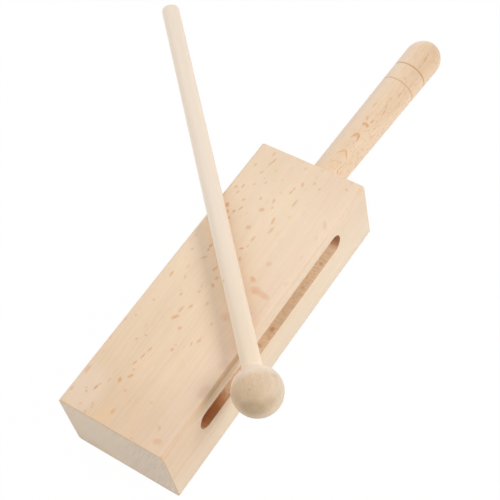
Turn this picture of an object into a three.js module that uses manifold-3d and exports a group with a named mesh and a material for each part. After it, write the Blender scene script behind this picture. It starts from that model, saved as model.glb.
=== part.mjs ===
import * as THREE from 'three';
import { mergeVertices } from 'three/addons/utils/BufferGeometryUtils.js';
import Module from 'manifold-3d';

// A hand-held beech wood block with a turned handle, and the beater that lies loose across it.
// Millimetres and degrees. X runs across the block towards its slot, Y along it towards the
// handle, and Z up. The origin is the middle of the block's flat underside.

// Sound block: one planed length of beech
const blockWidth = 63;
const blockLength = 175;
const blockHeight = 40.5;
const longEdgeRadius = 2.2;
const endEdgeEase = 0.5;

// Sound slot: routed into the +X side with round ends, and blind
const slotLength = 123;
const slotHeight = 11.2;
const slotDepth = 47;
const slotTopWall = 7.2;
const slotShift = 0.3;

// Handle: turned in one piece with a taper, two grooves and a domed end
const handleReach = 114.4;
const handleFaceRadius = 8.8;
const handleGripRadius = 10.25;
const handleDomeLength = 11.5;
const innerGrooveReach = 77.4;
const groovePitch = 12.1;
const grooveWidth = 1;
const grooveDepth = 0.5;

// Seat of the handle: a blind hole in the +Y end face, bored slightly out of square
const handleShift = 0.4;
const handleHeight = 20;
const handleLean = 2.1;
const boreToSlotWall = 4.5;
const tenonChamfer = 1.2;

// Beater: a dowel glued into a drilled ball
const beaterLength = 268.3;
const stickRadius = 5;
const stickEndEase = 0.9;
const ballRadius = 12.5;
const ballEndWall = 8.5;
const drillPointAngle = 118;

// Where the beater lies on the block: the stick crosses the block's middle line askew
const beaterCrossing = 12.3;
const ballReach = 72.9;
const beaterHeading = 135.3;

// Clearances
const glueGap = 0.3;
const restGap = 0.1;
const cutOverrun = 5;

// Facets
const turnedFacets = 56;
const edgeFacets = 5;
const slotEndFacets = 14;
const domeFacets = 10;
const ballFacets = 22;
const easeFacets = 3;

// Seat values that follow from the sizes above
const slotMiddleHeight = blockHeight - slotTopWall - slotHeight / 2;
const slotEndReach = slotLength / 2 + slotShift;
const boreDepth = blockLength / 2 - slotEndReach - boreToSlotWall;
const boreRadius = handleFaceRadius + glueGap;
const tenonLength = boreDepth - glueGap;
const domeStart = handleReach - handleDomeLength;
const ballBoreRadius = stickRadius + glueGap;

const wasm = await Module();
wasm.setup();

// Booleans work on closed meshes whose shared corners are welded
function solidFrom(geometry) {
  const bare = geometry.clone();
  bare.deleteAttribute('normal');
  bare.deleteAttribute('uv');
  const welded = mergeVertices(bare);
  const mesh = new wasm.Mesh({
    numProp: 3,
    vertProperties: new Float32Array(welded.attributes.position.array),
    triVerts: new Uint32Array(welded.index.array),
  });
  return new wasm.Manifold(mesh);
}

function geometryFrom(solid) {
  const mesh = solid.getMesh();
  const geometry = new THREE.BufferGeometry();
  geometry.setAttribute('position', new THREE.BufferAttribute(mesh.vertProperties, 3));
  geometry.setIndex(new THREE.BufferAttribute(mesh.triVerts, 1));
  geometry.computeVertexNormals();
  return geometry;
}

function wood(colour, roughness) {
  return new THREE.MeshStandardMaterial({ color: colour, roughness, metalness: 0 });
}

function part(name, geometry, material) {
  const mesh = new THREE.Mesh(geometry, material);
  mesh.name = name;
  return mesh;
}

// A quarter round from one flat onto the next, as points of a turned profile. The corner is the
// sharp corner that it replaces, and outward is +1 where the end face looks along +Y.
function easedCorner(radius, along, ease, outward) {
  const points = [];
  for (let step = 0; step <= easeFacets; step += 1) {
    const turn = (step / easeFacets) * Math.PI / 2;
    const inset = ease * (1 - Math.cos(turn));
    const drop = ease * (1 - Math.sin(turn));
    points.push(new THREE.Vector2(radius - inset, along - outward * drop));
  }
  return outward > 0 ? points : points.reverse();
}

// The frame of the handle and of its hole: Y runs out along the leaning axis from the end face
function handleFrame() {
  const frame = new THREE.Group();
  frame.position.set(handleShift, blockLength / 2, handleHeight);
  frame.rotation.z = -THREE.MathUtils.degToRad(handleLean);
  frame.updateMatrix();
  return frame;
}

// The frame of the beater: Y runs from the ball to the free end, over the block's middle line
function beaterFrame() {
  const frame = new THREE.Group();
  frame.position.set(0, beaterCrossing, blockHeight + restGap + stickRadius);
  frame.rotation.z = THREE.MathUtils.degToRad(beaterHeading) - Math.PI / 2;
  return frame;
}

// Block before its cuts: a rounded outline run along Y, with the sharp end edges taken off
function blockBlank() {
  const halfWidth = blockWidth / 2;
  const sideMiddle = halfWidth - longEdgeRadius;
  const topMiddle = blockHeight - longEdgeRadius;
  const outline = new THREE.Shape();
  outline.absarc(sideMiddle, longEdgeRadius, longEdgeRadius, -Math.PI / 2, 0);
  outline.absarc(sideMiddle, topMiddle, longEdgeRadius, 0, Math.PI / 2);
  outline.absarc(-sideMiddle, topMiddle, longEdgeRadius, Math.PI / 2, Math.PI);
  outline.absarc(-sideMiddle, longEdgeRadius, longEdgeRadius, Math.PI, Math.PI * 1.5);
  const straightLength = blockLength - 2 * endEdgeEase;
  const blank = new THREE.ExtrudeGeometry(outline, {
    depth: straightLength,
    curveSegments: edgeFacets,
    bevelSize: endEdgeEase,
    bevelThickness: endEdgeEase,
    bevelOffset: -endEdgeEase,
    bevelSegments: 1,
  });
  blank.rotateX(Math.PI / 2);
  blank.translate(0, straightLength / 2, 0);
  return blank;
}

// The router's path: a straight slot with half-round ends, run in from the +X side
function slotCutter() {
  const endRadius = slotHeight / 2;
  const endMiddle = slotLength / 2 - endRadius;
  const outline = new THREE.Shape();
  outline.absarc(endMiddle, 0, endRadius, -Math.PI / 2, Math.PI / 2);
  outline.absarc(-endMiddle, 0, endRadius, Math.PI / 2, Math.PI * 1.5);
  const cutter = new THREE.ExtrudeGeometry(outline, {
    depth: slotDepth + cutOverrun,
    curveSegments: slotEndFacets,
    bevelEnabled: false,
  });
  const alongY = new THREE.Vector3(0, 1, 0);
  const upZ = new THREE.Vector3(0, 0, 1);
  const intoX = new THREE.Vector3(1, 0, 0);
  cutter.applyMatrix4(new THREE.Matrix4().makeBasis(alongY, upZ, intoX));
  cutter.translate(blockWidth / 2 - slotDepth, slotShift, slotMiddleHeight);
  return cutter;
}

// The hole for the handle, on the handle's own leaning axis
function handleBoreCutter() {
  const length = boreDepth + cutOverrun;
  const cutter = new THREE.CylinderGeometry(boreRadius, boreRadius, length, turnedFacets);
  cutter.translate(0, cutOverrun - length / 2, 0);
  cutter.applyMatrix4(handleFrame().matrix);
  return cutter;
}

function soundBlock() {
  const cut = solidFrom(blockBlank())
    .subtract(solidFrom(slotCutter()))
    .subtract(solidFrom(handleBoreCutter()));
  return part('sound_block', geometryFrom(cut), wood('#ecd6bc', 0.55));
}

// The grip swells evenly from the end face to the start of the dome
function gripRadius(reach) {
  return handleFaceRadius + (handleGripRadius - handleFaceRadius) * (reach / domeStart);
}

// One V-shaped groove, turned and then burnt in with a wire
function groovePoints(reach) {
  const near = reach - grooveWidth / 2;
  const far = reach + grooveWidth / 2;
  return [
    new THREE.Vector2(gripRadius(near), near),
    new THREE.Vector2(gripRadius(reach) - grooveDepth, reach),
    new THREE.Vector2(gripRadius(far), far),
  ];
}

function domePoints() {
  const points = [];
  for (let step = 0; step < domeFacets; step += 1) {
    const turn = (step / domeFacets) * Math.PI / 2;
    const radius = handleGripRadius * Math.cos(turn);
    points.push(new THREE.Vector2(radius, domeStart + handleDomeLength * Math.sin(turn)));
  }
  points.push(new THREE.Vector2(0, handleReach));
  return points;
}

function handle() {
  const profile = [
    new THREE.Vector2(0, -tenonLength),
    new THREE.Vector2(handleFaceRadius - tenonChamfer, -tenonLength),
    new THREE.Vector2(handleFaceRadius, -tenonLength + tenonChamfer),
    new THREE.Vector2(handleFaceRadius, 0),
    ...groovePoints(innerGrooveReach),
    ...groovePoints(innerGrooveReach + groovePitch),
    ...domePoints(),
  ];
  const turned = new THREE.LatheGeometry(profile, turnedFacets);
  return part('handle', turned, wood('#e8ccab', 0.5));
}

// The ball is solid but for the stick's drilled hole, which ends in the drill's point
function beaterHead() {
  const boreEnd = ballEndWall - ballRadius;
  const pointDepth = ballBoreRadius / Math.tan(THREE.MathUtils.degToRad(drillPointAngle / 2));
  const mouthTurn = Math.acos(ballBoreRadius / ballRadius);
  const profile = [
    new THREE.Vector2(0, boreEnd - pointDepth),
    new THREE.Vector2(ballBoreRadius, boreEnd),
  ];
  for (let step = 0; step < ballFacets; step += 1) {
    const turn = mouthTurn - (step / ballFacets) * (mouthTurn + Math.PI / 2);
    profile.push(new THREE.Vector2(ballRadius * Math.cos(turn), ballRadius * Math.sin(turn)));
  }
  profile.push(new THREE.Vector2(0, -ballRadius));
  const turned = new THREE.LatheGeometry(profile.reverse(), turnedFacets);
  const ball = part('beater_head', turned, wood('#dcc6a6', 0.6));
  ball.position.y = -ballReach;
  return ball;
}

function beaterStick() {
  const seatedEnd = -ballReach + ballEndWall - ballRadius + glueGap;
  const freeEnd = beaterLength - ballRadius - ballReach;
  const profile = [
    new THREE.Vector2(0, seatedEnd),
    ...easedCorner(stickRadius, seatedEnd, stickEndEase, -1),
    ...easedCorner(stickRadius, freeEnd, stickEndEase, 1),
    new THREE.Vector2(0, freeEnd),
  ];
  const turned = new THREE.LatheGeometry(profile, turnedFacets);
  return part('beater_stick', turned, wood('#efe0ca', 0.6));
}

const leaningHandle = handleFrame();
leaningHandle.add(handle());

const beater = beaterFrame();
beater.add(beaterStick(), beaterHead());

const woodBlock = new THREE.Group();
woodBlock.add(soundBlock(), leaningHandle, beater);

export default woodBlock;
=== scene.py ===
import math

import bmesh
import bpy
from mathutils import Matrix, Vector


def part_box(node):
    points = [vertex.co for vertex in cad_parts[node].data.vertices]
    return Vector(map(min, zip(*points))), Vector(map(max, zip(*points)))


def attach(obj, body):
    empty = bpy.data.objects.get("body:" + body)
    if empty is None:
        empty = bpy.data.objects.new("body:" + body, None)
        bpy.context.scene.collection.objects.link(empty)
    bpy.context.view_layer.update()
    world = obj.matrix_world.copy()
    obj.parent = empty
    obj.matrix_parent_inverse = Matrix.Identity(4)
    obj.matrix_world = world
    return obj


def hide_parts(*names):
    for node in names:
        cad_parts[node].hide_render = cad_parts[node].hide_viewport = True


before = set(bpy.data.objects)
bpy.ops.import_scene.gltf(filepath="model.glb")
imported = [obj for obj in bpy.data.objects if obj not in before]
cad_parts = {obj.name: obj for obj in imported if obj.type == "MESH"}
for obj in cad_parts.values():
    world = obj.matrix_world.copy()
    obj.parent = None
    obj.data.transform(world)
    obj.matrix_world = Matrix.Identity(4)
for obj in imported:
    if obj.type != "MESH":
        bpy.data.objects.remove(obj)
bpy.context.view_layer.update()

MM = 0.001


# Sound block
# One planed length of pale beech with the pith far off, so rays show as flecks on the top. Its
# long edges are rounded along the grain, its end edges are only broken, and a cutter has run a
# long round-ended slot into one side. The hole in its end takes the handle's foot.
LONG_EDGE_RADIUS = 2.2 * MM
END_EDGE_EASE = 0.5 * MM
SLOT_LENGTH = 123 * MM
SLOT_HEIGHT = 11.2 * MM
SLOT_DEPTH = 47 * MM
SLOT_TOP_WALL = 7.2 * MM
SLOT_SHIFT = 0.3 * MM
SLOT_MOUTH_EASE = 0.12 * MM
HANDLE_FACE_RADIUS = 8.8 * MM
HANDLE_SHIFT = 0.4 * MM
HANDLE_HEIGHT = 20 * MM
HANDLE_LEAN = math.radians(2.1)
HANDLE_HOLE_DEPTH = 21 * MM
HANDLE_HOLE_GAP = 0.06 * MM
CUT_OVERRUN = 5 * MM
SAME_PLACE = 0.001 * MM
LONG_EDGE_FACETS = 8
EASED_EDGE_FACETS = 3
SLOT_OUTLINE_FACETS = 64
TURNED_FACETS = 96

block_low, block_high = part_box("sound_block")
slot_middle_height = block_high.z - SLOT_TOP_WALL - SLOT_HEIGHT / 2


def new_piece(name, bm):
    """A finished bmesh as an object at the origin."""
    mesh = bpy.data.meshes.new(name)
    bm.to_mesh(mesh)
    bm.free()
    piece = bpy.data.objects.new(name, mesh)
    bpy.context.scene.collection.objects.link(piece)
    return piece


def smooth_between_creases(piece, crease_angle):
    """Smooth shading that stops at creases and leaves flat faces flat."""
    bm = bmesh.new()
    bm.from_mesh(piece.data)
    for face in bm.faces:
        face.smooth = True
    for edge in bm.edges:
        edge.smooth = edge.calc_face_angle(0.0) < crease_angle
    bm.to_mesh(piece.data)
    bm.free()
    flats = piece.modifiers.new("flats stay flat", "WEIGHTED_NORMAL")
    flats.keep_sharp = True


def handle_place():
    """Y runs out of the block's end along the leaning handle, from the middle of its hole."""
    mouth = Vector((HANDLE_SHIFT, block_high.y, HANDLE_HEIGHT))
    return Matrix.Translation(mouth) @ Matrix.Rotation(-HANDLE_LEAN, 4, "Z")


def edge_length_along(edge):
    return abs((edge.verts[0].co - edge.verts[1].co).y)


def round_over(bm, edges, radius, facets):
    bmesh.ops.bevel(
        bm, geom=edges, offset=radius, offset_type="OFFSET", segments=facets,
        profile=0.5, affect="EDGES", material=-1)


def planed_length():
    size = block_high - block_low
    middle = (block_high + block_low) / 2
    bm = bmesh.new()
    place = Matrix.Translation(middle) @ Matrix.Diagonal((*size, 1.0))
    bmesh.ops.create_cube(bm, size=1.0, matrix=place)
    long_edges = [edge for edge in bm.edges if edge_length_along(edge) > size.y / 2]
    round_over(bm, long_edges, LONG_EDGE_RADIUS, LONG_EDGE_FACETS)
    end_edges = [edge for edge in bm.edges if edge_length_along(edge) < END_EDGE_EASE]
    round_over(bm, end_edges, END_EDGE_EASE, EASED_EDGE_FACETS)
    return new_piece("block_dressed", bm)


def slot_cutter():
    """A round-ended outline drawn along the block, pushed in from the side."""
    radius = SLOT_HEIGHT / 2
    straight_half = SLOT_LENGTH / 2 - radius
    bm = bmesh.new()
    half_a_facet = Matrix.Rotation(math.pi / SLOT_OUTLINE_FACETS, 4, "Z")
    bmesh.ops.create_circle(
        bm, cap_ends=True, segments=SLOT_OUTLINE_FACETS, radius=radius, matrix=half_a_facet)
    for vert in bm.verts:
        vert.co.y += math.copysign(straight_half, vert.co.y)
    pushed = bmesh.ops.extrude_face_region(bm, geom=bm.faces[:])["geom"]
    pushed = [item for item in pushed if isinstance(item, bmesh.types.BMVert)]
    bmesh.ops.translate(bm, verts=pushed, vec=(0, 0, SLOT_DEPTH + CUT_OVERRUN))
    start = Matrix.Translation((block_high.x - SLOT_DEPTH, SLOT_SHIFT, slot_middle_height))
    push_along_x = Matrix.Rotation(math.radians(90), 4, "Y")
    bmesh.ops.transform(bm, matrix=start @ push_along_x, verts=bm.verts)
    bmesh.ops.recalc_face_normals(bm, faces=bm.faces)
    return new_piece("slot_cutter", bm)


def handle_hole_cutter():
    radius = HANDLE_FACE_RADIUS + HANDLE_HOLE_GAP
    length = HANDLE_HOLE_DEPTH + CUT_OVERRUN
    middle = Matrix.Translation((0, CUT_OVERRUN - length / 2, 0))
    lie_along_y = Matrix.Rotation(math.radians(90), 4, "X")
    bm = bmesh.new()
    bmesh.ops.create_cone(
        bm, cap_ends=True, segments=TURNED_FACETS, radius1=radius, radius2=radius, depth=length,
        matrix=handle_place() @ middle @ lie_along_y)
    return new_piece("handle_hole_cutter", bm)


def cut_away(piece, cutter):
    cut = piece.modifiers.new("cut", "BOOLEAN")
    cut.operation = "DIFFERENCE"
    cut.solver = "EXACT"
    cut.object = cutter
    cut_piece = piece.evaluated_get(bpy.context.evaluated_depsgraph_get())
    mesh = bpy.data.meshes.new_from_object(cut_piece)
    piece.modifiers.clear()
    piece.data = mesh
    bpy.data.objects.remove(cutter)


def ease_slot_mouth(piece):
    """The slot's edge in the side face, broken with sandpaper."""
    reach = SLOT_LENGTH / 2 + END_EDGE_EASE
    rise = SLOT_HEIGHT / 2 + END_EDGE_EASE
    bm = bmesh.new()
    bm.from_mesh(piece.data)

    def on_mouth(vert):
        on_side = abs(vert.co.x - block_high.x) < SAME_PLACE
        in_reach = abs(vert.co.y - SLOT_SHIFT) < reach
        return on_side and in_reach and abs(vert.co.z - slot_middle_height) < rise

    mouth = [edge for edge in bm.edges if all(on_mouth(vert) for vert in edge.verts)]
    round_over(bm, mouth, SLOT_MOUTH_EASE, EASED_EDGE_FACETS)
    bm.to_mesh(piece.data)
    bm.free()


sound_block = planed_length()
cut_away(sound_block, slot_cutter())
cut_away(sound_block, handle_hole_cutter())
ease_slot_mouth(sound_block)
smooth_between_creases(sound_block, math.radians(35))
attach(sound_block, "block")
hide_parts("sound_block")


def put(tree, kind, inputs=None, **settings):
    """One node with its settings, its inputs filled from values or from other nodes."""
    node = tree.nodes.new(kind)
    for name, value in settings.items():
        setattr(node, name, value)
    for name, value in (inputs or {}).items():
        if isinstance(value, bpy.types.NodeSocket):
            tree.links.new(value, node.inputs[name])
        else:
            node.inputs[name].default_value = value
    return node


def tree_of(*terms):
    """The tree that the terms come from, of which at least one is a socket."""
    return next(term.id_data for term in terms if isinstance(term, bpy.types.NodeSocket))


def sums(operation, *terms, clamp=False):
    given = dict(enumerate(terms))
    return put(tree_of(*terms), "ShaderNodeMath", given, operation=operation, use_clamp=clamp).outputs[0]


def vector_sums(operation, *terms, result="Vector"):
    given = dict(enumerate(terms))
    node = put(tree_of(*terms), "ShaderNodeVectorMath", given, operation=operation)
    return node.outputs[result]


def times(*amounts):
    """All the amounts multiplied together."""
    product = amounts[0]
    for amount in amounts[1:]:
        product = sums("MULTIPLY", product, amount)
    return product


def either(*amounts):
    """The largest of the amounts at each place."""
    most = amounts[0]
    for amount in amounts[1:]:
        most = sums("MAXIMUM", most, amount)
    return most


def scaled(amount, by, plus):
    return sums("MULTIPLY_ADD", amount, by, plus)


def swing(pattern, depth):
    """A pattern from 0 to 1 as light and dark about 1, by half the depth either way."""
    return scaled(pattern, depth, 1.0 - depth / 2)


def off_from(value, middle):
    """How far a value is from a middle, either way."""
    return sums("ABSOLUTE", sums("SUBTRACT", value, middle))


def ease(value, start, end, low=0.0, high=1.0):
    """A soft step from low at start to high at end."""
    given = {"Value": value, "From Min": start, "From Max": end, "To Min": low, "To Max": high}
    node = put(tree_of(value), "ShaderNodeMapRange", given, interpolation_type="SMOOTHSTEP")
    return node.outputs["Result"]


def opaque(colour):
    return (*colour, 1.0) if isinstance(colour, tuple) else colour


def stain(amount, wood, colour, how="MIX"):
    """Colour laid over the wood by an amount from 0 to 1."""
    given = {0: amount, 6: opaque(wood), 7: opaque(colour)}
    tree = tree_of(amount, wood, colour)
    return put(tree, "ShaderNodeMix", given, data_type="RGBA", blend_type=how).outputs[2]


def tinge(amount, wood, colour):
    """The wood as seen through coloured glass, by an amount from 0 to 1."""
    return stain(amount, wood, colour, "MULTIPLY")


def split(vector):
    return put(tree_of(vector), "ShaderNodeSeparateXYZ", {0: vector}).outputs


def join(across, along, up=0.0):
    given = {0: across, 1: along, 2: up}
    return put(tree_of(across, along, up), "ShaderNodeCombineXYZ", given).outputs[0]


def stretched(place, shares):
    return vector_sums("MULTIPLY", place, shares)


def turned_about(axis, place, angle):
    given = {"Vector": place, "Angle": angle}
    return put(tree_of(place), "ShaderNodeVectorRotate", given, rotation_type=axis).outputs[0]


def noise(place, scale, detail=2.0, roughness=0.5):
    given = {"Vector": place, "Scale": scale, "Detail": detail, "Roughness": roughness}
    return put(tree_of(place), "ShaderNodeTexNoise", given).outputs


def wobble(place, scale, detail, amount):
    """A vector that wanders about nought with the place."""
    centred = vector_sums("SUBTRACT", noise(place, scale, detail)["Color"], (0.5, 0.5, 0.5))
    return vector_sums("MULTIPLY", centred, amount)


def cells(place):
    """Cells of one unit each, scattered at random."""
    given = {"Vector": place, "Scale": 1.0, "Randomness": 1.0}
    return put(tree_of(place), "ShaderNodeTexVoronoi", given).outputs


def effect(name, inputs, outputs):
    """A named node group with its ends in place: the tree, what goes in and what comes out."""
    tree = bpy.data.node_groups.new(name, "ShaderNodeTree")
    for label, kind, value in inputs:
        socket = tree.interface.new_socket(label, in_out="INPUT", socket_type="NodeSocket" + kind)
        socket.default_value = value
    for label, kind in outputs:
        tree.interface.new_socket(label, in_out="OUTPUT", socket_type="NodeSocket" + kind)
    return tree, put(tree, "NodeGroupInput").outputs, put(tree, "NodeGroupOutput").inputs


def apply_effect(group, **inputs):
    given = {name.replace("_", " ").capitalize(): value for name, value in inputs.items()}
    return put(tree_of(*inputs.values()), "ShaderNodeGroup", given, node_tree=group).outputs


# (what it is, its width, how fast it changes along the grain as a share of how fast it does across)
GRAIN_LENGTH_SHARES = (
    ("Bands", "Band width", 0.05), ("Lines", "Line width", 0.008), ("Fibres", "Fibre width", 0.02),
)


def wood_grain():
    """Streaks along Y: broad bands of tone, lines between them, fine fibres, and a faint mottle."""
    tree, given, result = effect(
        "wood grain",
        [("Place", "Vector", (0, 0, 0)), ("Band width", "Float", 9.0), ("Line width", "Float", 1.4),
         ("Fibre width", "Float", 0.35), ("Wander", "Float", 0.6)],
        [("Bands", "Float"), ("Lines", "Float"), ("Fibres", "Float"), ("Mottle", "Float")])
    sway = wobble(stretched(given["Place"], (0.03, 0.008, 0.03)), 1.0, 1.0, (8, 0, 8))
    sway = put(tree, "ShaderNodeVectorMath", {0: sway, 3: given["Wander"]}, operation="SCALE").outputs[0]
    place = vector_sums("ADD", given["Place"], sway)
    for label, width, length_share in GRAIN_LENGTH_SHARES:
        drawn = stretched(place, (1.0, length_share, 1.0))
        per_width = sums("DIVIDE", 1.0, given[width])
        tree.links.new(noise(drawn, per_width, 1.5)["Fac"], result[label])
    patches = noise(stretched(given["Place"], (0.35, 0.18, 0.35)), 1.0, 2.0)["Fac"]
    tree.links.new(ease(patches, 0.3, 0.7), result["Mottle"])
    return tree


def ray_flecks():
    """Short lens-shaped flecks where the cut runs nearly along the wood's rays."""
    tree, given, result = effect(
        "ray flecks",
        [("Place", "Vector", (0, 0, 0)), ("Spacing", "Vector", (20, 8, 1)), ("Size", "Float", 0.2)],
        [("Flecks", "Float"), ("Chance", "Float")])
    place = vector_sums("DIVIDE", given["Place"], given["Spacing"])
    ragged = wobble(given["Place"], 0.9, 2.0, (0.3, 0.22, 0.3))
    cell = cells(vector_sums("ADD", place, ragged))
    chance = split(cell["Color"])[0]
    size = times(given["Size"], swing(chance, 0.6))
    flecks = ease(cell["Distance"], size, times(size, 0.45))
    tree.links.new(flecks, result["Flecks"])
    tree.links.new(chance, result["Chance"])
    return tree


def single_mark():
    """One mark that catches the eye, as a soft lens at its own place, along its own three ways."""
    tree, given, result = effect(
        "single mark",
        [("Place", "Vector", (0, 0, 0)), ("Centre", "Vector", (0, 0, 0)), ("Short way", "Vector", (1, 0, 0)),
         ("Long way", "Vector", (0, 1, 0)), ("Deep way", "Vector", (0, 0, 1))],
        [("Mark", "Float")])
    off = vector_sums("SUBTRACT", given["Place"], given["Centre"])
    shares = [
        vector_sums("DOT_PRODUCT", off, given[way], result="Value")
        for way in ("Short way", "Long way", "Deep way")]
    reach = vector_sums("LENGTH", join(*shares), result="Value")
    tree.links.new(ease(reach, 1.3, 0.45), result["Mark"])
    return tree


def growth_rings():
    """Pale and dark layers across Z, each starting soft and ending in a sharper dark line."""
    tree, given, result = effect(
        "growth rings",
        [("Place", "Vector", (0, 0, 0)), ("Ring width", "Float", 2.0), ("Wander", "Float", 1.0)],
        [("Late wood", "Float")])
    sway = noise(stretched(given["Place"], (0.12, 0.03, 0.12)), 1.0, 2.0)["Fac"]
    sway = times(sums("SUBTRACT", sway, 0.5), given["Wander"])
    layer = sums("ADD", split(given["Place"])[2], sway)
    through = sums("FRACT", sums("DIVIDE", layer, given["Ring width"]))
    dark = times(ease(through, 0.35, 0.88), ease(through, 1.0, 0.92))
    tree.links.new(dark, result["Late wood"])
    return tree


def pore_dashes():
    """Open pores as fine dark dashes along Y."""
    tree, given, result = effect(
        "pore dashes",
        [("Place", "Vector", (0, 0, 0)), ("Spacing", "Vector", (0.8, 4, 0.8)), ("Size", "Float", 0.22)],
        [("Pores", "Float")])
    place = vector_sums("DIVIDE", given["Place"], given["Spacing"])
    inner = times(given["Size"], 0.4)
    pores = ease(cells(place)["Distance"], given["Size"], inner)
    tree.links.new(pores, result["Pores"])
    return tree


WOOD_GRAIN = wood_grain()
RAY_FLECKS = ray_flecks()
SINGLE_MARK = single_mark()
GROWTH_RINGS = growth_rings()
PORE_DASHES = pore_dashes()


BEECH_RELIEF = 0.25
BEECH_RELIEF_HEIGHT = 0.12 * MM
BARE_WOOD_GLOSS = 0.3
BARE_WOOD_SHEEN = 0.3
BARE_WOOD_SHEEN_ROUGHNESS = 0.5


def new_wood(name):
    """A wood material, its shader, and places on the piece in millimetres."""
    wood = bpy.data.materials.new(name)
    wood.use_nodes = True
    tree = wood.node_tree
    shader = tree.nodes["Principled BSDF"]
    shader.inputs["Specular IOR Level"].default_value = BARE_WOOD_GLOSS
    shader.inputs["Sheen Weight"].default_value = BARE_WOOD_SHEEN
    shader.inputs["Sheen Roughness"].default_value = BARE_WOOD_SHEEN_ROUGHNESS
    place = stretched(put(tree, "ShaderNodeTexCoord").outputs["Object"], (1 / MM, 1 / MM, 1 / MM))
    return wood, tree, shader, place


def dress(tree, shader, colour, rough, height, strength, distance):
    """Colour, roughness and fine relief, joined to the wood's shader."""
    tree.links.new(colour, shader.inputs["Base Color"])
    tree.links.new(rough, shader.inputs["Roughness"])
    bump = put(tree, "ShaderNodeBump", {"Strength": strength, "Distance": distance, "Height": height})
    tree.links.new(bump.outputs[0], shader.inputs["Normal"])


def roughen(place):
    """Places shifted a little to and fro, so that marks drawn there have ragged outlines."""
    return vector_sums("ADD", place, wobble(place, 0.8, 2.0, (0.8, 1.2, 0.0)))


def add_marks(place, marks, height, half_depth):
    """The marks of a table together, all at one height and reaching half a depth up and down."""
    together = 0.0
    for across, along, width, length, turn, depth in marks:
        turn = math.radians(turn)
        short_way = (math.cos(turn) * 2 / width, -math.sin(turn) * 2 / width, 0)
        long_way = (math.sin(turn) * 2 / length, math.cos(turn) * 2 / length, 0)
        mark = apply_effect(
            SINGLE_MARK, place=place, centre=(across, along, height),
            short_way=short_way, long_way=long_way, deep_way=(0, 0, 1 / half_depth))
        together = either(together, times(mark["Mark"], depth))
    return together


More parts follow.
